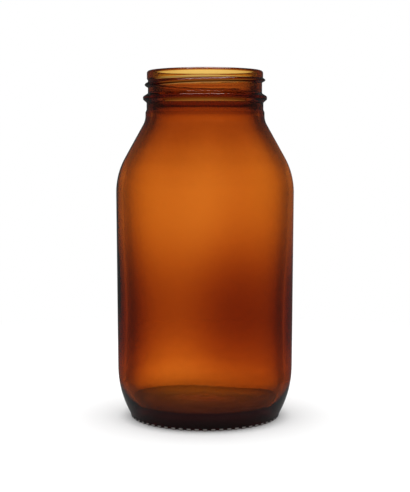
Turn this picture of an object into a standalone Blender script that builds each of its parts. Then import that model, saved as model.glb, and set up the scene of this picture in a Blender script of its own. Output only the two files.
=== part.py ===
"""Wide-mouth apothecary jar: one piece of blown amber glass with a screw finish.

The glass is a turned shell with a helical thread moulded round its neck and a
grooved ring under its foot. Units are metres, +Z is up, and the origin is at
the middle of the ring that the jar stands on.
"""

import math

import bmesh
import bpy
from mathutils import Matrix, Vector

MM = 0.001

# Overall
HEIGHT = 151.0 * MM
WALL = 2.6 * MM

# Finish: everything from the rim down to the shoulder. Depths are measured from the rim.
MOUTH_DIAMETER = 44.7 * MM
NECK_DIAMETER = 50.1 * MM
LIP_ROUND = 0.8 * MM
BEAD_DIAMETER = 53.8 * MM
BEAD_DEPTH = 11.8 * MM
BEAD_NOSE = 1.6 * MM
BEAD_ROOT = 3.6 * MM
BEAD_ROUND = 0.7 * MM
COLLAR_DIAMETER = 50.7 * MM
SEAM_DEPTH = 17.2 * MM
SEAM_BEVEL = 0.5 * MM
ROOT_DIAMETER = 51.7 * MM
SHOULDER_DEPTH = 21.4 * MM

# Screw thread: one right-hand turn, from its low end to its high end
THREAD_DIAMETER = 52.3 * MM
THREAD_HALF_WIDTH = 1.25 * MM
THREAD_PITCH = 4.23 * MM
THREAD_TURNS = 1.0
THREAD_TOP_DEPTH = 3.8 * MM
THREAD_START_ANGLE = 36.0
THREAD_FADE_ANGLE = 24.0
THREAD_END_SCALE = 0.3

# Shoulder and body
SHOULDER_ANGLE = 29.1
SHOULDER_ROUND = 31.0 * MM
NECK_ROUND = 8.0 * MM
BODY_DIAMETER = 77.5 * MM
HEEL_DIAMETER = 76.4 * MM

# Heel, foot and base
HEEL_ANGLE = 27.3
HEEL_ROUND = 43.0 * MM
FOOT_DIAMETER = 66.7 * MM
FOOT_HEIGHT = 1.9 * MM
STAND_DIAMETER = 65.2 * MM
STAND_WIDTH = 4.0 * MM
STAND_ROUND = 0.5 * MM
RECESS_DEPTH = 0.9 * MM
RECESS_BEVEL = 1.0 * MM
PUSH_UP = 2.4 * MM
FLOOR_EDGE_HEIGHT = 6.6 * MM
FLOOR_RISE = 1.5 * MM
FLOOR_ROUND = 2.2 * MM

# Grooves across the standing ring, which leave a row of short bars to stand on
GROOVE_COUNT = 60
GROOVE_WIDTH = 1.4 * MM
GROOVE_DEPTH = 0.4 * MM
GROOVE_OVERRUN = 1.0 * MM

# Fineness of the mesh
TURN_STEPS = 52
ARC_TOLERANCE = 0.05 * MM
DOME_STEPS = 4
THREAD_STEPS_PER_TURN = 60
MERGE_DISTANCE = 0.01 * MM
SHARP_ANGLE = 40.0

AMBER = (0.42, 0.13, 0.022, 1.0)
GLASS_ROUGHNESS = 0.06
GLASS_IOR = 1.52


def clear_scene():
    for obj in list(bpy.data.objects):
        bpy.data.objects.remove(obj)


def new_collection(name):
    collection = bpy.data.collections.new(name)
    bpy.context.scene.collection.children.link(collection)
    return collection


def amber_glass():
    material = bpy.data.materials.new("amber_glass")
    material.use_nodes = True
    shader = material.node_tree.nodes["Principled BSDF"]
    shader.inputs["Base Color"].default_value = AMBER
    shader.inputs["Metallic"].default_value = 0.0
    shader.inputs["Roughness"].default_value = GLASS_ROUGHNESS
    shader.inputs["IOR"].default_value = GLASS_IOR
    shader.inputs["Transmission Weight"].default_value = 1.0
    return material


def rounded(corners):
    """Turns (radius, height, round) corners into a line whose corners are arcs.

    Where two rounds would overlap on the side between them, both are made smaller to share it.
    """
    points = [Vector(corner[:2]) for corner in corners]
    sides = [(after - before) for before, after in zip(points, points[1:])]
    turns = [0.0] + [side.angle(following) for side, following in zip(sides, sides[1:])] + [0.0]
    tangents = [corner[2] * math.tan(turn / 2) for corner, turn in zip(corners, turns)]
    needed = [tangents[i] + tangents[i + 1] for i in range(len(sides))]
    room = [min(1.0, 0.97 * side.length / max(need, 1e-9)) for side, need in zip(sides, needed)]
    line = [points[0]]
    for i in range(1, len(points) - 1):
        tangent = tangents[i] * min(room[i - 1], room[i])
        line += arc(points[i], sides[i - 1].normalized(), sides[i].normalized(), tangent)
    return line + [points[-1]]


def arc(corner, coming, going, tangent):
    """Points of the arc that leaves one side and meets the next at this distance from their corner."""
    turn = coming.angle(going)
    if tangent < MERGE_DISTANCE:
        return [corner]
    radius = tangent / math.tan(turn / 2)
    centre = corner + (going - coming).normalized() * (radius / math.cos(turn / 2))
    start = corner - coming * tangent - centre
    finish = corner + going * tangent - centre
    sweep = -start.angle_signed(finish)
    step = 2 * math.acos(max(0.0, 1 - ARC_TOLERANCE / radius))
    count = max(2, math.ceil(turn / step))
    return [centre + Matrix.Rotation(sweep * i / count, 2) @ start for i in range(count + 1)]


def dome(edge_radius, edge_height, middle_height):
    """Parabola from the axis out to its edge, without the edge point itself."""
    rise = middle_height - edge_height
    shares = [i / DOME_STEPS for i in range(DOME_STEPS)]
    return [Vector((edge_radius * s, middle_height - rise * s * s)) for s in shares]


def outer_corners():
    """The outside, from the rim down to the inner edge of the standing ring."""
    neck = NECK_DIAMETER / 2
    bead = BEAD_DIAMETER / 2
    collar = COLLAR_DIAMETER / 2
    root = ROOT_DIAMETER / 2
    body = BODY_DIAMETER / 2
    heel = HEEL_DIAMETER / 2
    foot = FOOT_DIAMETER / 2
    stand = STAND_DIAMETER / 2
    bead_height = HEIGHT - BEAD_DEPTH
    seam_height = HEIGHT - SEAM_DEPTH
    shoulder_top = HEIGHT - SHOULDER_DEPTH
    shoulder_low = shoulder_top - (body - root) / math.tan(math.radians(SHOULDER_ANGLE))
    heel_top = FOOT_HEIGHT + (heel - foot) / math.tan(math.radians(HEEL_ANGLE))
    return [
        (neck, HEIGHT, LIP_ROUND),
        (neck, bead_height + BEAD_ROOT / 2, 0.0),
        (bead, bead_height + BEAD_NOSE / 2, BEAD_ROUND),
        (bead, bead_height - BEAD_NOSE / 2, BEAD_ROUND),
        (collar, bead_height - BEAD_ROOT / 2, 0.0),
        (collar, seam_height, 0.0),
        (root, seam_height - SEAM_BEVEL, 0.0),
        (root, shoulder_top, NECK_ROUND),
        (body, shoulder_low, SHOULDER_ROUND),
        (heel, heel_top, HEEL_ROUND),
        (foot, FOOT_HEIGHT, 0.0),
        (stand, 0.0, STAND_ROUND),
        (stand - STAND_WIDTH, 0.0, 0.0),
    ]


def inner_corners():
    """The inside, from the edge of the floor up to the rim, one wall in from the outside."""
    mouth = MOUTH_DIAMETER / 2
    body = BODY_DIAMETER / 2
    heel = HEEL_DIAMETER / 2
    shoulder = math.radians(SHOULDER_ANGLE)
    heel_lean = math.radians(HEEL_ANGLE)
    shoulder_in = WALL / math.cos(shoulder)
    heel_in = WALL / math.cos(heel_lean)
    shoulder_top = HEIGHT - SHOULDER_DEPTH
    root = ROOT_DIAMETER / 2

    def slope_height(radius):
        """Height at which the inside of the shoulder's slope has this radius."""
        return shoulder_top - (radius + shoulder_in - root) / math.tan(shoulder)

    def heel_radius(height):
        """Radius of the inside of the heel's slope at this height."""
        return FOOT_DIAMETER / 2 - heel_in + (height - FOOT_HEIGHT) * math.tan(heel_lean)

    body_in = body - WALL
    heel_wall = heel - WALL
    heel_top = FOOT_HEIGHT + (heel_wall - heel_radius(FOOT_HEIGHT)) / math.tan(heel_lean)
    floor_edge = heel_radius(FLOOR_EDGE_HEIGHT)
    return [
        (floor_edge, FLOOR_EDGE_HEIGHT, FLOOR_ROUND),
        (heel_wall, heel_top, HEEL_ROUND - WALL),
        (body_in, slope_height(body_in), SHOULDER_ROUND - WALL),
        (mouth, slope_height(mouth), NECK_ROUND + WALL),
        (mouth, HEIGHT, LIP_ROUND),
    ]


def jar_profile():
    """Half section of the glass: out along the floor, up the inside, down the outside, back under the base."""
    inner = inner_corners()
    outer = outer_corners()
    floor_edge, floor_height, _ = inner[0]
    floor = dome(floor_edge, floor_height, floor_height + FLOOR_RISE)
    recess_edge = outer[-1][0] - RECESS_BEVEL
    under = dome(recess_edge, RECESS_DEPTH, RECESS_DEPTH + PUSH_UP)
    walls = rounded([(*floor[-1], 0.0), *inner, *outer, (recess_edge, RECESS_DEPTH, 0.0)])
    return floor + walls[1:] + under[::-1]


def turned(name, points, collection):
    """A solid of revolution about Z from a half section in (radius, height)."""
    mesh = bpy.data.meshes.new(name)
    corners = [(point.x, 0.0, point.y) for point in points]
    mesh.from_pydata(corners, [(i, i + 1) for i in range(len(corners) - 1)], [])
    obj = bpy.data.objects.new(name, mesh)
    collection.objects.link(obj)
    screw = obj.modifiers.new("turn", "SCREW")
    screw.steps = TURN_STEPS
    screw.render_steps = TURN_STEPS
    screw.use_merge_vertices = True
    screw.merge_threshold = MERGE_DISTANCE
    screw.use_normal_calculate = False
    return obj


def hide_tool(obj):
    obj.hide_render = True
    obj.display_type = "WIRE"
    return obj


def thread_ridge(collection):
    """The thread as a round rib on a helix, half sunk in the neck, thinning out at both ends."""
    helix_radius = THREAD_DIAMETER / 2 - THREAD_HALF_WIDTH
    count = round(THREAD_STEPS_PER_TURN * THREAD_TURNS)
    low_end = HEIGHT - THREAD_TOP_DEPTH - THREAD_PITCH * THREAD_TURNS
    curve = bpy.data.curves.new("thread_path", "CURVE")
    curve.dimensions = "3D"
    curve.bevel_depth = THREAD_HALF_WIDTH
    curve.bevel_resolution = 2
    curve.use_fill_caps = True
    spline = curve.splines.new("POLY")
    spline.points.add(count)
    for i, point in enumerate(spline.points):
        turned_by = 360.0 * THREAD_TURNS * i / count
        angle = math.radians(THREAD_START_ANGLE + turned_by)
        height = low_end + THREAD_PITCH * turned_by / 360.0
        point.co = (helix_radius * math.cos(angle), helix_radius * math.sin(angle), height, 1.0)
        from_end = min(turned_by, 360.0 * THREAD_TURNS - turned_by)
        share = min(1.0, from_end / THREAD_FADE_ANGLE)
        point.radius = THREAD_END_SCALE + (1 - THREAD_END_SCALE) * share
    path = bpy.data.objects.new("thread_path", curve)
    collection.objects.link(path)
    return as_mesh(path, "thread_ridge", collection)


def as_mesh(source, name, collection):
    """A curve object made a closed mesh object, so that a Boolean can use it."""
    bpy.context.view_layer.update()
    evaluated = source.evaluated_get(bpy.context.evaluated_depsgraph_get())
    mesh = bpy.data.meshes.new_from_object(evaluated)
    mesh.name = name
    shape = bmesh.new()
    shape.from_mesh(mesh)
    bmesh.ops.remove_doubles(shape, verts=shape.verts, dist=MERGE_DISTANCE)
    bmesh.ops.recalc_face_normals(shape, faces=shape.faces)
    shape.to_mesh(mesh)
    shape.free()
    obj = bpy.data.objects.new(name, mesh)
    obj.matrix_world = source.matrix_world
    collection.objects.link(obj)
    bpy.data.objects.remove(source)
    return hide_tool(obj)


def standing_grooves(collection):
    """Radial bars that cut the standing ring, one between each pair of its short feet."""
    outer = STAND_DIAMETER / 2 + GROOVE_OVERRUN
    inner = STAND_DIAMETER / 2 - STAND_WIDTH - GROOVE_OVERRUN
    size = Matrix.Diagonal((outer - inner, GROOVE_WIDTH, 2 * GROOVE_DEPTH, 1.0))
    middle = Matrix.Translation(((outer + inner) / 2, 0.0, 0.0))
    shape = bmesh.new()
    for i in range(GROOVE_COUNT):
        around = Matrix.Rotation(2 * math.pi * (i + 0.5) / GROOVE_COUNT, 4, "Z")
        bmesh.ops.create_cube(shape, size=1.0, matrix=around @ middle @ size)
    mesh = bpy.data.meshes.new("standing_grooves")
    shape.to_mesh(mesh)
    shape.free()
    obj = bpy.data.objects.new("standing_grooves", mesh)
    collection.objects.link(obj)
    return hide_tool(obj)


def combine(obj, other, operation):
    boolean = obj.modifiers.new(other.name, "BOOLEAN")
    boolean.operation = operation
    boolean.object = other
    boolean.solver = "EXACT"


def shade(obj):
    """Settles the modifiers into the mesh and shades it smooth but for its real edges."""
    bpy.context.view_layer.update()
    evaluated = obj.evaluated_get(bpy.context.evaluated_depsgraph_get())
    mesh = bpy.data.meshes.new_from_object(evaluated)
    mesh.name = obj.name
    mesh.shade_smooth()
    mesh.set_sharp_from_angle(angle=math.radians(SHARP_ANGLE))
    obj.modifiers.clear()
    obj.data = mesh


def main():
    clear_scene()
    parts = new_collection("apothecary_jar")
    tools = new_collection("cutters")
    jar = turned("glass_jar", jar_profile(), parts)
    jar.data.materials.append(amber_glass())
    combine(jar, thread_ridge(tools), "UNION")
    combine(jar, standing_grooves(tools), "DIFFERENCE")
    shade(jar)


main()
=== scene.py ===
import math

import bpy
import numpy as np
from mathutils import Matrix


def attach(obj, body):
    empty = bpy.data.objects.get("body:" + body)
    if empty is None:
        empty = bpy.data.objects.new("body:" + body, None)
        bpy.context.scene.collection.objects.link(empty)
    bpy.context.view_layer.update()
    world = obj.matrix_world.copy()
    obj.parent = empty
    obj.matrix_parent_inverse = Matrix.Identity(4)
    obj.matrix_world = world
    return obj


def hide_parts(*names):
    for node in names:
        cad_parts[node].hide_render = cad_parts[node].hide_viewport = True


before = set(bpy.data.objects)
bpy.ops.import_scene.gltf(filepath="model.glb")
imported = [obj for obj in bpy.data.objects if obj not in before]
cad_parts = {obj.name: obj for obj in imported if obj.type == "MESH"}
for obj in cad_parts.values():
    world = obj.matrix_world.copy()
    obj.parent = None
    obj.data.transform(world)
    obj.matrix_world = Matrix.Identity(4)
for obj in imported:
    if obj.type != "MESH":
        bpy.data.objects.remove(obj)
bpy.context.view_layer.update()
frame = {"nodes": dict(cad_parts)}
print("frame loaded:", ", ".join(frame["nodes"]))

mm = 0.001


# A socket with arithmetic: an expression on wires adds its Math nodes
class Wire:
    def __init__(self, tree, socket=None):
        self.tree = tree
        self.socket = socket

    def put(self, socket, value):
        if isinstance(value, Wire):
            self.tree.links.new(value.socket, socket)
        else:
            socket.default_value = value

    # any node: its type, its settings (set first), its sockets' values or links, and the output wanted
    def add(self, kind, settings=None, sockets=None, out=0):
        node = self.tree.nodes.new(kind)
        for name, value in (settings or {}).items():
            if name == "stops":
                ramp = node.color_ramp
                while len(ramp.elements) < len(value):
                    ramp.elements.new(1.0)
                for element, (place, shade) in zip(ramp.elements, value):
                    element.position = place
                    element.color = (shade, shade, shade, 1.0)
            else:
                setattr(node, name, value)
        for name, value in (sockets or {}).items():
            self.put(node.inputs[name], value)
        return Wire(self.tree, node.outputs[out])

    def calc(self, operation, first, second=0.0):
        return self.add("ShaderNodeMath", {"operation": operation}, {0: first, 1: second})

    def __add__(self, other):
        return self.calc("ADD", self, other)

    def __sub__(self, other):
        return self.calc("SUBTRACT", self, other)

    def __rsub__(self, other):
        return self.calc("SUBTRACT", other, self)

    def __mul__(self, other):
        return self.calc("MULTIPLY", self, other)

    def __truediv__(self, other):
        return self.calc("DIVIDE", self, other)

    def __rtruediv__(self, other):
        return self.calc("DIVIDE", other, self)

    __radd__ = __add__
    __rmul__ = __mul__

    def atLeast(self, other):
        return self.calc("MAXIMUM", self, other)


# an emptied node tree, as the wire that adds to it
def newTree(owner):
    owner.use_nodes = True
    owner.node_tree.nodes.clear()
    return Wire(owner.node_tree)


jar = {  # mm and degrees; heights are from the standing ring, and edges are small rounds
    # the finish, the neck and the shoulder, with depths from the rim
    "height": 151.0,
    "mouthRadius": 22.8, "mouthDepth": 2.5, "mouthRound": 3.0,
    "boreRadius": 22.75, "boreDepth": 6.0, "boreRound": 4.0, "boreDrop": 1.0,  # drop: below the bead
    "neckBore": 23.1, "neckBoreDrop": 1.5,  # drop: below the seam
    "joinDepth": 7.0,  # where the inside passes into the finish
    "lipRadius": 25.17, "lipDepth": 3.6, "lipRound": 1.08, "lipStep": 0.5, "lipEdge": 0.5,
    "neckRadius": 24.75, "neckEdge": 0.8,
    "beadRadius": 26.9, "beadDepth": 11.75, "beadNose": 1.3, "beadRoot": 4.0, "beadRound": 0.75,
    "collarRadius": 25.35, "collarEdge": 0.6,
    "seamDepth": 16.8, "seamBevel": 1.1, "seamEdge": 0.8,
    "rootRadius": 25.85, "rootRise": 2.6,  # rise: where the finish passes into the shoulder
    "shoulderDepth": 21.4, "shoulderAngle": 29.1, "shoulderRound": 31.0, "neckRound": 8.0,
    # the body, the foot and the underside, where a depth is the form's own
    "bodyRadius": 38.75, "heelRadius": 38.2, "heelAngle": 27.3, "heelRound": 43.0,
    "footRadius": 33.05, "footHeight": 1.9, "footEdge": 0.6,
    "standRadius": 32.6, "standWidth": 4.0, "standRound": 0.5, "standEdge": 0.4,
    "standRise": 0.45, "standLean": 0.05,  # where the foot passes into the standing ring
    "recessDepth": 0.9, "recessBevel": 1.0, "recessEdge": 0.6,
    "pushUp": 1.8, "pushStart": 3.0, "pushLift": 0.3, "pushPoints": 90,  # the dome inside the recess
    "rings": 4, "ringDepth": 0.025,  # faint mould rings, on the floor and under it
    "wall": 2.6,  # thinnest, at the upper body
    "heelWall": 3.6, "floorEdge": 8.2, "floorRise": 0.5, "floorRound": 1.6, "floorPoints": 120,
    "around": 240,  # columns round the jar, four to each bar of the standing ring
}

curve = {
    "arcPoints": 25, "spare": 0.97,  # spare: the share of a side that its two arcs may use
    "least": 0.0001, "tiny": 1e-9,  # no arc below the first, and no division by less than the second
}

grid = {  # a section's rows, what a bend counts, its step in mm, and bands (low, high, weight) with more rows
    "inside": {"rows": 116, "bend": 14.0, "step": 0.1, "bands": ((0.0, 9.0, 1.0),)},
    "finish": {"rows": 146, "bend": 1.5, "step": 0.05, "bands": ((141.0, 149.8, 0.5),)},
    "outside": {"rows": 90, "bend": 14.0, "step": 0.1, "bands": ((-1.0, 2.2, 8.0), (4.0, 9.0, 2.0))},
    "under": {"rows": 66, "bend": 1.0, "step": 0.05, "bands": ((-1.0, 0.5, 3.0),)},
}

thread = {  # mm and degrees
    "crestRadius": 26.15, "halfWidth": 1.05, "pitch": 4.2, "turns": 1.0,
    "topDepth": 3.6, "startAngle": 36.0, "fadeAngle": 26.0,
    "aboveBead": 1.0, "belowRim": 0.3, "slack": 0.05,  # where the neck can carry it
}

massAndPaintedShade = {  # extra glass behind the surface, mm, and painted shade: the base and the beads of the finish are thick and look darker, and are painted darker than that glass makes them
    # what a mm takes of each colour: in the body, the base (nearly grey, so painted shade) and the finish
    "wall": (0.7, 1.1, 1.2), "base": (0.7, 0.74, 0.74), "amber": (0.7, 1.2, 1.9),
    "surfaceAmber": (0.031, 0.235, 0.02),  # what the surface takes away, a share of the amber; none where the finish is -1, which paints those bands lighter as painted light
    # by height, painted shade: the heel's two sides, the lip's inner half and the finish, whose -1 bands are
    # painted light instead
    "inside": ((8.9, 1.0), (9.3, 0.9), (10.0, 0.3), (14.0, 0.1), (20.0, 0.0)),
    "outside": ((3.6, 2.7), (4.6, 1.8), (5.6, 0.4), (6.8, 0.2), (7.6, 0.9),
                (9.0, 0.8), (12.0, 0.4), (16.0, 0.1), (24.0, 0.0)),
    "lip": ((149.9, 0.0), (150.4, 1.8)),
    "finish": ((110.0, 0.0), (116.0, 0.06), (123.0, 0.24), (130.0, 0.4), (132.5, 0.5),
               (133.0, 1.2), (134.3, 1.2), (134.7, 0.7), (135.0, 1.1), (136.3, 1.1),
               (136.7, 0.3), (138.2, 0.3), (138.6, 1.8), (140.3, 1.8), (140.9, 0.8),
               (143.4, 0.9), (143.8, 0.2), (145.2, 0.2), (145.6, 1.0), (146.7, 1.0),
               (147.0, -1.0), (149.8, -1.0), (150.3, 0.6)),
    # by radius, in rings, painted shade: the floor, and the recess under it
    "floor": ((4.0, 0.5), (8.0, 1.0), (12.0, 1.8), (15.0, 3.2),
              (20.0, 4.6), (23.0, 4.0), (27.0, 4.0), (31.0, 4.3)),
    "under": ((13.0, 0.1), (16.0, 1.2), (20.0, 1.6), (22.5, 0.5), (26.0, 0.6), (28.5, 2.7)),
    "floorReach": 31.0, "floorMargin": 1.0,  # the floor's radius, and how far over it its rows go
    # by height: how far the wall darkens where it is seen aslant, a painted shade at the edges
    "aslant": ((8.0, 1.3), (16.0, 1.2), (24.0, 1.0), (35.0, 1.2), (60.0, 1.2), (85.0, 1.0), (99.5, 1.0),
               (107.0, 0.85), (113.0, 0.9), (120.0, 1.05), (130.0, 1.3), (133.0, 1.5), (134.2, 2.2),
               (136.8, 2.2), (137.4, 1.7), (141.4, 1.9), (141.8, 2.2), (146.2, 2.2), (146.6, 1.7),
               (149.3, 1.7), (149.8, 2.0)),
}

bars = {  # of the standing ring, mm
    "count": 60, "depth": 0.4,
    "reach": 0.6, "blend": 0.8, "fade": 0.9,  # how far inward they go, and how wide and high they fade out
    "wornFrom": 0.2, "wornTo": 1.15, "wornWidth": 1.0,  # the scuffed strip: heights and width
}

wave = {  # how uneven the blown wall is, mm
    "columns": ((1, 0.08, 0.8), (2, 0.13, 0.1), (3, 0.07, 2.0), (8, 0.02, 1.2)),  # waves round, size, phase
    "twist": 50.0,  # mm of height for a radian
    "belt": 0.55, "middle": 45.0, "spread": 27.0,  # the thick belt: extra wall, height, spread
    "patches": ((72.0, 0.22), (-74.0, 0.52), (-145.0, 0.2), (0.0, 0.5), (180.0, 0.35)),  # angle, extra wall
    "patchSpread": 26.0,  # degrees
    "startHeight": 9.0, "startOver": 12.0,  # fades in above the floor
    "endHeight": 135.0, "endOver": 14.0,  # and out in the neck
}


# a line through corners (radius, height, round), each corner replaced by its tangent arc
def roundedLine(corners):
    corners = np.array(corners, float)
    points, rounds = corners[:, :2], corners[:, 2]
    sides = np.diff(points, axis=0)
    lengths = np.linalg.norm(sides, axis=1)
    ways = sides / lengths[:, None]
    turns = np.zeros(len(points))
    turns[1:-1] = np.arccos(np.clip((ways[:-1] * ways[1:]).sum(1), -1, 1))
    reach = rounds * np.tan(turns / 2)
    share = np.minimum(1.0, curve["spare"] * lengths / np.maximum(reach[:-1] + reach[1:], curve["tiny"]))
    line = [points[:1]]
    for i in range(1, len(points) - 1):
        tangent = reach[i] * min(share[i - 1], share[i])
        if tangent < curve["least"]:
            line.append(points[i:i + 1])
            continue
        radius = tangent / math.tan(turns[i] / 2)
        inward = ways[i] - ways[i - 1]
        centre = points[i] + inward / np.linalg.norm(inward) * radius / math.cos(turns[i] / 2)
        start = points[i] - ways[i - 1] * tangent - centre
        side = np.sign(ways[i - 1][0] * ways[i][1] - ways[i - 1][1] * ways[i][0])
        sweep = side * turns[i] * np.linspace(0, 1, curve["arcPoints"])
        arc = np.stack([start[0] * np.cos(sweep) - start[1] * np.sin(sweep),
                        start[0] * np.sin(sweep) + start[1] * np.cos(sweep)], 1)
        line.append(centre + arc)
    line.append(points[-1:])
    return np.concatenate(line)


# subdivides a line's straight runs, so that weighting can act inside them
def fine(line, step):
    parts = []
    for a, b in zip(line[:-1], line[1:]):
        n = max(1, int(np.linalg.norm(b - a) / step))
        parts.append(a + (b - a) * (np.arange(n) / n)[:, None])
    return np.concatenate(parts + [line[-1:]])


# points on a line at even steps of its length, weighted so that bends and the listed height bands get more
def resample(line, g):
    line = fine(line, g["step"])
    steps = np.diff(line, axis=0)
    length = np.maximum(np.linalg.norm(steps, axis=1), curve["tiny"])
    heading = np.unwrap(np.arctan2(steps[:, 1], steps[:, 0]))
    bend = np.abs(np.gradient(heading)) * g["bend"]
    middle = (line[:-1, 1] + line[1:, 1]) / 2
    dense = np.ones(len(length))
    for low, high, weight in g["bands"]:
        dense += weight * ((middle > low) & (middle < high))
    along = np.concatenate([[0], np.cumsum(length * dense + bend)])
    wanted = np.linspace(0, along[-1], g["rows"])
    return np.stack([np.interp(wanted, along, line[:, 0]), np.interp(wanted, along, line[:, 1])], 1)


# half section of the glass: floor, up the inside, over the rim, down the outside, under the base
def jarSections(j, g):
    top, wall = j["height"], j["wall"]
    slope, lean = math.radians(j["shoulderAngle"]), math.radians(j["heelAngle"])
    shoulderTop = top - j["shoulderDepth"]
    shoulderLow = shoulderTop - (j["bodyRadius"] - j["rootRadius"]) / math.tan(slope)
    heelTop = j["footHeight"] + (j["heelRadius"] - j["footRadius"]) / math.tan(lean)
    bead, seam = top - j["beadDepth"], top - j["seamDepth"]
    slopeIn, leanIn = wall / math.cos(slope), j["heelWall"] / math.cos(lean)

    # height of the shoulder's inner wall at a radius
    def innerSlope(r):
        return shoulderTop - (r + slopeIn - j["rootRadius"]) / math.tan(slope)

    # radius of the heel's inner wall at a height
    def innerLean(z):
        return j["footRadius"] - leanIn + (z - j["footHeight"]) * math.tan(lean)

    bodyIn, heelIn = j["bodyRadius"] - wall, j["heelRadius"] - wall
    heelTopIn = j["footHeight"] + (heelIn - innerLean(j["footHeight"])) / math.tan(lean)
    # the floor: a low dome with rings that die out at its edge
    edge = innerLean(j["floorEdge"])
    spread = np.linspace(0, 1, j["floorPoints"])[:-1]
    ripple = j["ringDepth"] * np.cos(2 * np.pi * j["rings"] * spread) * (1 - spread)
    floorLine = np.stack([edge * spread, j["floorEdge"] + j["floorRise"] * (1 - spread ** 2) + ripple], 1)
    # the points at which one section passes into the next
    join = (j["boreRadius"], top - j["joinDepth"], 0)
    root = (j["rootRadius"], shoulderTop + j["rootRise"], 0)
    foot = (j["standRadius"] + j["standLean"], j["standRise"], 0)
    inside = roundedLine([
        (*floorLine[-1], 0), (edge, j["floorEdge"], j["floorRound"]),
        (heelIn, heelTopIn, j["heelRound"] - wall),
        (bodyIn, innerSlope(bodyIn), j["shoulderRound"] - wall),
        (j["neckBore"], innerSlope(j["neckBore"]), j["neckRound"] + wall),
        (j["neckBore"], seam - j["neckBoreDrop"], j["boreRound"]),
        (j["boreRadius"], bead - j["boreDrop"], j["boreRound"]),
        join])
    finish = roundedLine([
        join,
        (j["boreRadius"], top - j["boreDepth"], j["mouthRound"]),
        (j["mouthRadius"], top - j["mouthDepth"], j["mouthRound"]),
        (j["mouthRadius"], top, j["lipRound"]),
        (j["lipRadius"], top, j["lipRound"]),
        (j["lipRadius"], top - j["lipDepth"], j["lipEdge"]),
        (j["neckRadius"], top - j["lipDepth"] - j["lipStep"], j["lipEdge"]),
        (j["neckRadius"], bead + j["beadRoot"] / 2, j["neckEdge"]),
        (j["beadRadius"], bead + j["beadNose"] / 2, j["beadRound"]),
        (j["beadRadius"], bead - j["beadNose"] / 2, j["beadRound"]),
        (j["collarRadius"], bead - j["beadRoot"] / 2, j["collarEdge"]),
        (j["collarRadius"], seam, j["seamEdge"]),
        (j["rootRadius"], seam - j["seamBevel"], j["seamEdge"]),
        root])
    outside = roundedLine([
        root,
        (j["rootRadius"], shoulderTop, j["neckRound"]),
        (j["bodyRadius"], shoulderLow, j["shoulderRound"]),
        (j["heelRadius"], heelTop, j["heelRound"]),
        (j["footRadius"], j["footHeight"], j["footEdge"]),
        foot])
    recess = j["standRadius"] - j["standWidth"] - j["recessBevel"]
    stand = roundedLine([
        foot,
        (j["standRadius"], 0, j["standRound"]),
        (j["standRadius"] - j["standWidth"], 0, j["standEdge"]),
        (recess, j["recessDepth"], j["recessEdge"]),
        (recess - j["pushStart"], j["recessDepth"] + j["pushLift"], 0)])
    # the push-up: a dome from the end of that line to the axis, with the same rings
    start = stand[-1]
    spread = np.linspace(1, 0, j["pushPoints"])[1:]
    rise = j["recessDepth"] + j["pushUp"]
    ripple = j["ringDepth"] * (1 - np.cos(2 * np.pi * j["rings"] * spread))
    under = np.stack([start[0] * spread, rise - (rise - start[1]) * spread ** 2 - ripple], 1)
    lines = {
        "inside": np.concatenate([floorLine, inside[1:]]), "finish": finish,
        "outside": outside, "under": np.concatenate([stand, under]),
    }
    return {name: resample(line, g[name]) for name, line in lines.items()}


# height of the thread over the neck: a parabola across the helix, the highest of the laps at a column
def threadRise(angle, height, j, t):
    low = j["height"] - t["topDepth"] - t["pitch"] * t["turns"]
    sweep = 360.0 * t["turns"]
    rise = np.zeros(np.broadcast(angle, height).shape)
    for lap in (-1, 0, 1):
        along = np.degrees(angle) - t["startAngle"] + 360.0 * lap
        fade = np.clip(np.minimum(along, sweep - along) / t["fadeAngle"], 0, 1)
        fade = fade * fade * (3 - 2 * fade)
        away = (height - low - t["pitch"] * along / 360.0) / t["halfWidth"]
        hump = np.clip(1 - away ** 2, 0, 1)
        rise = np.maximum(rise, hump * fade)
    return rise * (t["crestRadius"] - j["neckRadius"])


# unevenness of the blown wall: cosines round the jar that twist slowly with height, a bell-shaped belt
# and its patches, all of it faded in above the floor and out again in the neck
def wallWave(angle, height, w):
    belt = np.exp(-((height - w["middle"]) / w["spread"]) ** 2)
    extra = w["belt"] * belt
    for number, size, phase in w["columns"]:
        extra = extra + size * np.cos(number * angle + phase + height / w["twist"])
    for turned, size in w["patches"]:
        off = np.degrees(np.angle(np.exp(1j * (angle - math.radians(turned)))))
        extra = extra + size * np.exp(-(off / w["patchSpread"]) ** 2) * belt
    start = np.clip((height - w["startHeight"]) / w["startOver"], 0, 1)
    end = np.clip((w["endHeight"] - height) / w["endOver"], 0, 1)
    return start * end * extra


# a mesh from a grid of points in mm: quads between its rows, and a fan from each end point on the axis
def closedMesh(name, body, ends):
    count, around = body.shape[:2]
    points = np.concatenate([body.reshape(-1, 3), ends]) * mm
    here = np.arange(around)
    after = (here + 1) % around
    row = (np.arange(count - 1) * around)[:, None]
    quads = np.stack([row + here, row + around + here, row + around + after, row + after], -1).reshape(-1, 4)
    first, last = count * around, count * around + 1
    lastRow = (count - 1) * around
    floorFan = np.stack([np.full(around, first), here, after], 1)
    underFan = np.stack([np.full(around, last), lastRow + after, lastRow + here], 1)
    mesh = bpy.data.meshes.new(name)
    mesh.from_pydata(points.tolist(), [], quads.tolist() + floorFan.tolist() + underFan.tolist())
    mesh.shade_smooth()
    mesh.update()
    return mesh
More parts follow.
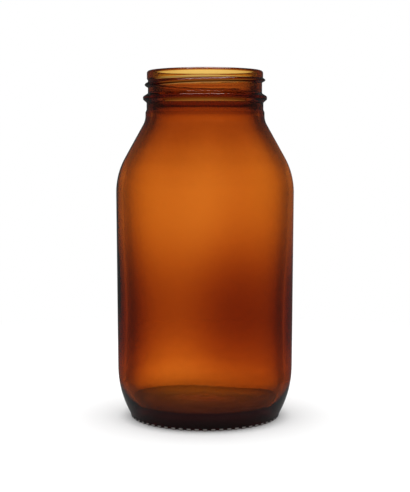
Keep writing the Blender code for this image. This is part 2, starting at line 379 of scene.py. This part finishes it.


# tint of each point: e to the power of minus what its extra glass and its surface take away, by colour,
# the glass's amber with painted shade and painted light; and as a fourth value how far it darkens where it is
# seen aslant, a painted shade at the edges
def jarTintAndShade(rows, height, extra, isInside, isUnder, j, m):
    across, up = rows.T
    at = {name: np.interp(up, *np.array(m[name]).T) for name in ("inside", "outside", "lip", "finish")}
    at.update({name: np.interp(across, *np.array(m[name]).T) for name in ("floor", "under")})
    floorTop = j["floorEdge"] + j["floorRise"] + m["floorMargin"]
    isFloor = isInside & (up < floorTop) & (across < m["floorReach"])
    base = np.select([isFloor, isInside, isUnder], [at["floor"], at["inside"], at["under"]], at["outside"])
    isInner = across < (j["mouthRadius"] + j["lipRadius"]) / 2
    finish = at["finish"] + at["lip"] * isInner
    thick = np.maximum(finish, 0)[:, None] * m["amber"]
    amberLeft = (1 + np.minimum(finish, 0))[:, None] * m["surfaceAmber"]
    lost = extra[..., None] * m["wall"] + base[:, None, None] * m["base"]
    lost = lost + (thick + amberLeft)[:, None]
    aslant = np.interp(height, *np.array(m["aslant"]).T) * ~(isFloor | isUnder)[:, None]
    return np.concatenate([np.exp(-lost), aslant[..., None]], -1)


# the whole jar as one closed grid: rows follow the half section, columns go round
def buildJar(j, g, t, b, w, m):
    sections = jarSections(j, g)
    later = [sections[name][1:] for name in ("finish", "outside", "under")]  # first points are shared
    rows = np.concatenate([sections["inside"]] + later)
    finishStart = len(sections["inside"])
    outsideStart = finishStart + len(sections["finish"]) - 1
    underStart = outsideStart + len(sections["outside"]) - 1
    which = np.arange(len(rows))
    isInside = which < finishStart
    isFinish = (which >= finishStart) & (which < outsideStart)
    isUnder = which >= underStart
    across, up = rows[:, :1], rows[:, 1:]
    angle = np.linspace(0, 2 * np.pi, j["around"], endpoint=False)[None, :]
    radius = np.repeat(across, j["around"], 1)
    height = np.repeat(up, j["around"], 1)
    # the wall is uneven on its inside only
    extra = wallWave(angle, height, w)
    radius = radius - isInside[:, None] * extra
    # thread: only on the outer neck, between the bead and the rim
    onNeck = isFinish[:, None] & (across > j["neckRadius"] - t["slack"])
    onNeck = onNeck & (height > j["height"] - j["beadDepth"] + t["aboveBead"])
    onNeck = onNeck & (height < j["height"] - t["belowRim"])
    radius = np.where(onNeck, np.maximum(radius, j["neckRadius"] + threadRise(angle, height, j, t)), radius)
    # bars: the standing ring rises by the groove's depth between them
    inner = j["standRadius"] - j["standWidth"]
    onStand = isUnder[:, None] & (across > inner - b["reach"])
    groove = 0.5 - 0.5 * np.cos(b["count"] * angle)
    radial = np.clip((across - inner) / b["blend"] + 0.5, 0, 1)
    height = height + onStand * groove * b["depth"] * radial * np.clip(1 - up / b["fade"], 0, 1)
    # the first and last rows are single points on the axis
    body = np.stack([radius * np.cos(angle), radius * np.sin(angle), height], -1)[1:-1]
    ends = np.array([[0, 0, rows[0, 1]], [0, 0, rows[-1, 1]]])
    mesh = closedMesh("amberJar", body, ends)
    # the bars' outer strip takes the second material
    out, low = rows[1:-2].T
    isWorn = (low > b["wornFrom"]) & (low < b["wornTo"]) & (out > j["standRadius"] - b["wornWidth"])
    perBar = j["around"] // b["count"]
    isBar = np.isin(np.arange(j["around"]) % perBar, (0, perBar - 1))
    strip = (isWorn[:, None] & isBar[None, :]).ravel()
    worn = np.zeros(len(mesh.polygons), int)
    worn[:len(strip)] = strip
    mesh.polygons.foreach_set("material_index", worn)
    # the tint attribute: the glass's amber, with painted shade and painted light in it
    shade = jarTintAndShade(rows, height, extra, isInside, isUnder, j, m)
    tint = mesh.attributes.new("tint", "FLOAT_COLOR", "POINT")
    tint.data.foreach_set("color", np.concatenate([shade[1:-1].reshape(-1, 4), shade[[0, -1], 0]]).ravel())
    piece = bpy.data.objects.new("amberJar", mesh)
    bpy.context.scene.collection.objects.link(piece)
    return piece


glass = {
    "ior": 1.52,
    "absorb": (50.0, 240.0, 830.0),  # per metre of glass, red green blue
    "roughLow": 0.012, "roughHigh": 0.05, "hazeScale": 140.0, "hazeDetail": 4.0,
    "peel": 0.00003, "peelScale": 55.0, "peelDetail": 2.0,  # the slight ripple of the surface, metres
    "edgeShade": (0.03, 0.006, 0.001),  # painted shade: what it turns to where it isn't clear, at the edges seen aslant
    "warmth": (1.0, 0.86, 0.86),  # what is left of each colour where the wall is seen aslant, in that painted shade
    "edge": ((0.0, 1.0), (0.13, 0.94), (0.3, 0.81), (0.48, 0.6),
             (0.55, 0.46), (0.6, 0.31), (0.66, 0.22)),  # clear share, from face on to aslant
    "edgeBlend": 0.5,  # how aslant is counted: 0.5 is even
    "frost": 0.35, "frostHeight": 0.8,  # the worn standing ring: roughness, and mm up the foot
}


# what light loses inside the glass, the same under every finish of its surface: the colour that loses most
# sets the density, and each colour keeps one minus its share of that
def finishGlass(tree, shader, g):
    density = max(g["absorb"])
    absorbed = tuple(1 - a / density for a in g["absorb"])
    inner = tree.add("ShaderNodeVolumeAbsorption", None, {"Color": (*absorbed, 1.0), "Density": density})
    end = tree.tree.nodes.new("ShaderNodeOutputMaterial")
    tree.put(end.inputs["Surface"], shader)
    tree.put(end.inputs["Volume"], inner)


# clear glass in the jar's tint, which holds painted shade and light, less clear and warmer seen aslant as a
# painted shade at the edges, and frosted at the standing ring
def amberGlass(g):
    material = bpy.data.materials.new("amberGlass")
    tree = newTree(material)
    place = tree.add("ShaderNodeTexCoord", out="Object")
    high = tree.add("ShaderNodeSeparateXYZ", None, {0: place}, out="Z") / mm
    noise = "ShaderNodeTexNoise"
    peel = tree.add(noise, None, {"Vector": place, "Scale": g["peelScale"], "Detail": g["peelDetail"]})
    haze = tree.add(noise, None, {"Vector": place, "Scale": g["hazeScale"], "Detail": g["hazeDetail"]})
    worn = (1 - high / g["frostHeight"]).atLeast(0.0)
    rough = haze * (g["roughHigh"] - g["roughLow"]) + g["roughLow"] + worn * g["frost"]
    bump = tree.add("ShaderNodeBump", None, {"Strength": 1.0, "Distance": g["peel"], "Height": peel})
    # the tint attribute carries painted shade and painted light, and its alpha how much the edges take of the
    # painted shade below
    clear = tree.add("ShaderNodeAttribute", {"attribute_name": "tint"}, out="Color")
    reach = tree.add("ShaderNodeAttribute", {"attribute_name": "tint"}, out="Alpha")
    # painted shade at the edges: where the wall is seen aslant the tint turns warmer and darker
    aslant = tree.add("ShaderNodeLayerWeight", None, {"Blend": g["edgeBlend"]}, out="Facing")
    edge = tree.add("ShaderNodeValToRGB", {"stops": g["edge"]}, {"Fac": aslant}, out="Color")
    depth = reach * (1 - edge)
    warmth, edgeShade = (*g["warmth"], 1.0), (*g["edgeShade"], 1.0)
    warm = tree.add("ShaderNodeMix", {"data_type": "RGBA", "blend_type": "MULTIPLY"},
                    {0: depth, 6: clear, 7: warmth}, out=2)
    tint = tree.add("ShaderNodeMix", {"data_type": "RGBA"}, {0: 1 - depth, 6: edgeShade, 7: warm}, out=2)
    shader = tree.add("ShaderNodeBsdfPrincipled", None, {
        "Base Color": tint, "Roughness": rough, "IOR": g["ior"],
        "Transmission Weight": 1.0, "Normal": bump})
    finishGlass(tree, shader, g)
    return material


scuffs = {
    "pale": (0.4, 0.375, 0.36), "dull": (0.2, 0.175, 0.16), "scale": 900.0, "detail": 3.0,
    "rough": 0.55, "clear": 0.2,
}


# the bars the jar stands on, ground dull by shelves: a fine noise between two greys
def scuffedGlass(c, g):
    material = bpy.data.materials.new("scuffedGlass")
    tree = newTree(material)
    place = tree.add("ShaderNodeTexCoord", out="Object")
    grain = tree.add("ShaderNodeTexNoise", None,
                     {"Vector": place, "Scale": c["scale"], "Detail": c["detail"]})
    dull, pale = (*c["dull"], 1.0), (*c["pale"], 1.0)
    tint = tree.add("ShaderNodeMix", {"data_type": "RGBA"}, {0: grain, 6: dull, 7: pale}, out=2)
    shader = tree.add("ShaderNodeBsdfPrincipled", None, {
        "Base Color": tint, "Roughness": c["rough"], "IOR": g["ior"], "Transmission Weight": c["clear"]})
    finishGlass(tree, shader, g)
    return material


piece = buildJar(jar, grid, thread, bars, wave, massAndPaintedShade)
piece.data.materials.append(amberGlass(glass))
piece.data.materials.append(scuffedGlass(scuffs, glass))
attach(piece, "root")
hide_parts("glass_jar")
print("jar built:", len(piece.data.vertices), "points")


studio = {  # metres and degrees
    "cameraPlace": (0.0, -0.5083, 0.1167), "cameraDown": 4.705,
    "focalPixels": 1162.6, "imageHeight": 492, "sensor": 36.0,  # the image in pixels, the sensor in mm
    "floorHalf": 9.0, "floorDrop": 0.0001, "floorColor": 0.93,
    "shadowReach": (0.10, 0.30), "shadowLift": 0.18,  # where the floor turns white, and how white it starts
    "mirrored": 0.06,  # what the glass mirrors: a dim room
    "mirrorReach": (0.045, 0.085), "mirrorNear": 0.12,  # close by it mirrors a little of the lit floor
    "underReach": (0.026, 0.034), "underGlow": 0.25,  # painted light: under the jar the floor glows for rays seen through the glass, standing in for light that the glass would let down onto it
    "roomLight": 0.58,
    # brightness through the glass, by how far a ray rises
    "backdrop": ((0.0, 1.0), (0.12, 0.97), (0.2, 0.5), (0.5, 0.5), (0.7, 0.22), (1.0, 0.22)),
    "lampPower": 21.5, "lampHeight": 1.5, "lampSize": 1.2,
}

plainWhite = (1, 1, 1, 1)


# the camera: its lens is the sensor's height times the focal length over the image's height, both in pixels
def buildCamera(s):
    data = bpy.data.cameras.new("camera")
    data.sensor_fit = "VERTICAL"
    data.sensor_height = s["sensor"]
    data.sensor_width = s["sensor"]
    data.lens = s["sensor"] * s["focalPixels"] / s["imageHeight"]
    camera = bpy.data.objects.new("camera", data)
    camera.location = s["cameraPlace"]
    camera.rotation_euler = (math.radians(90 - s["cameraDown"]), 0, 0)
    bpy.context.scene.collection.objects.link(camera)
    bpy.context.scene.camera = camera


# the pale floor: lit near the jar, white further out, and dimmer where the glass mirrors it
def buildFloor(s):
    half, low = s["floorHalf"], -s["floorDrop"]
    corners = [(-half, -half, low), (half, -half, low), (half, half, low), (-half, half, low)]
    mesh = bpy.data.meshes.new("floor")
    mesh.from_pydata(corners, [], [(0, 1, 2, 3)])
    floor = bpy.data.objects.new("floor", mesh)
    bpy.context.scene.collection.objects.link(floor)
    material = bpy.data.materials.new("paleFloor")
    tree = newTree(material)
    place = tree.add("ShaderNodeTexCoord", out="Object")
    away = tree.add("ShaderNodeVectorMath", {"operation": "LENGTH"}, {0: place}, out="Value")
    ray, ramp = "ShaderNodeLightPath", "ShaderNodeMapRange"
    isThrough = tree.add(ray, out="Is Transmission Ray")
    isCamera = tree.add(ray, out="Is Camera Ray")
    isMirror = tree.add(ray, out="Is Glossy Ray") * (1 - isThrough)
    start, full = s["shadowReach"]
    far = tree.add(ramp, None, {"Value": away, "From Min": start, "From Max": full})
    # painted light: the floor under the jar glows, seen only through the glass
    start, full = s["underReach"]
    under = tree.add(ramp, None, {
        "Value": away, "From Min": start, "From Max": full, "To Min": s["underGlow"], "To Max": 0.0})
    start, full = s["mirrorReach"]
    apart = tree.add(ramp, None, {
        "Value": away, "From Min": start, "From Max": full, "To Min": 1 - s["mirrorNear"], "To Max": 1.0})
    plain = tree.add("ShaderNodeBsdfDiffuse", None, {"Color": (*[s["floorColor"]] * 3, 1.0)})
    white = tree.add("ShaderNodeEmission", None, {"Color": plainWhite, "Strength": 1.0})
    dim = tree.add("ShaderNodeEmission", None, {"Color": plainWhite, "Strength": s["mirrored"]})
    lift = s["shadowLift"]
    shown = (isThrough * far.atLeast(under)).atLeast(isCamera * (far * (1 - lift) + lift))
    mix = tree.add("ShaderNodeMixShader", None, {0: shown, 1: plain, 2: white})
    mix = tree.add("ShaderNodeMixShader", None, {0: isMirror * apart, 1: mix, 2: dim})
    end = tree.tree.nodes.new("ShaderNodeOutputMaterial")
    tree.put(end.inputs["Surface"], mix)
    mesh.materials.append(material)


# the room: soft light on the jar, a white backdrop, less of it through the glass the more a ray rises
def buildWorld(s):
    world = bpy.data.worlds.new("room")
    bpy.context.scene.world = world
    tree = newTree(world)
    way = tree.add("ShaderNodeTexCoord", out="Generated")
    up = tree.add("ShaderNodeSeparateXYZ", None, {0: way}, out="Z")
    ray, back = "ShaderNodeLightPath", "ShaderNodeBackground"
    isCamera = tree.add(ray, out="Is Camera Ray")
    isThrough = tree.add(ray, out="Is Transmission Ray")
    isMirror = tree.add(ray, out="Is Glossy Ray")
    backdrop = tree.add("ShaderNodeValToRGB", {"stops": s["backdrop"]}, {"Fac": up}, out="Color")
    light = tree.add(back, None, {"Color": plainWhite, "Strength": s["roomLight"]})
    white = tree.add(back, None, {"Color": plainWhite, "Strength": 1.0})
    seen = tree.add(back, None, {"Color": backdrop, "Strength": 1.0})
    dim = tree.add(back, None, {"Color": plainWhite, "Strength": s["mirrored"]})
    mix = tree.add("ShaderNodeMixShader", None, {0: isCamera, 1: light, 2: white})
    mix = tree.add("ShaderNodeMixShader", None, {0: isMirror, 1: mix, 2: dim})
    mix = tree.add("ShaderNodeMixShader", None, {0: isThrough, 1: mix, 2: seen})
    end = tree.tree.nodes.new("ShaderNodeOutputWorld")
    tree.put(end.inputs["Surface"], mix)


# a softbox over the jar, pointing straight down and not seen through the glass
def buildLamp(s):
    data = bpy.data.lights.new("overhead", "AREA")
    data.shape = "SQUARE"
    data.size = s["lampSize"]
    data.energy = s["lampPower"]
    lamp = bpy.data.objects.new("overhead", data)
    lamp.location = (0, 0, s["lampHeight"])
    lamp.visible_transmission = False
    bpy.context.scene.collection.objects.link(lamp)


buildCamera(studio)
buildFloor(studio)
buildWorld(studio)
buildLamp(studio)
print("studio built")

scene = bpy.context.scene
scene.view_settings.view_transform = "Standard"
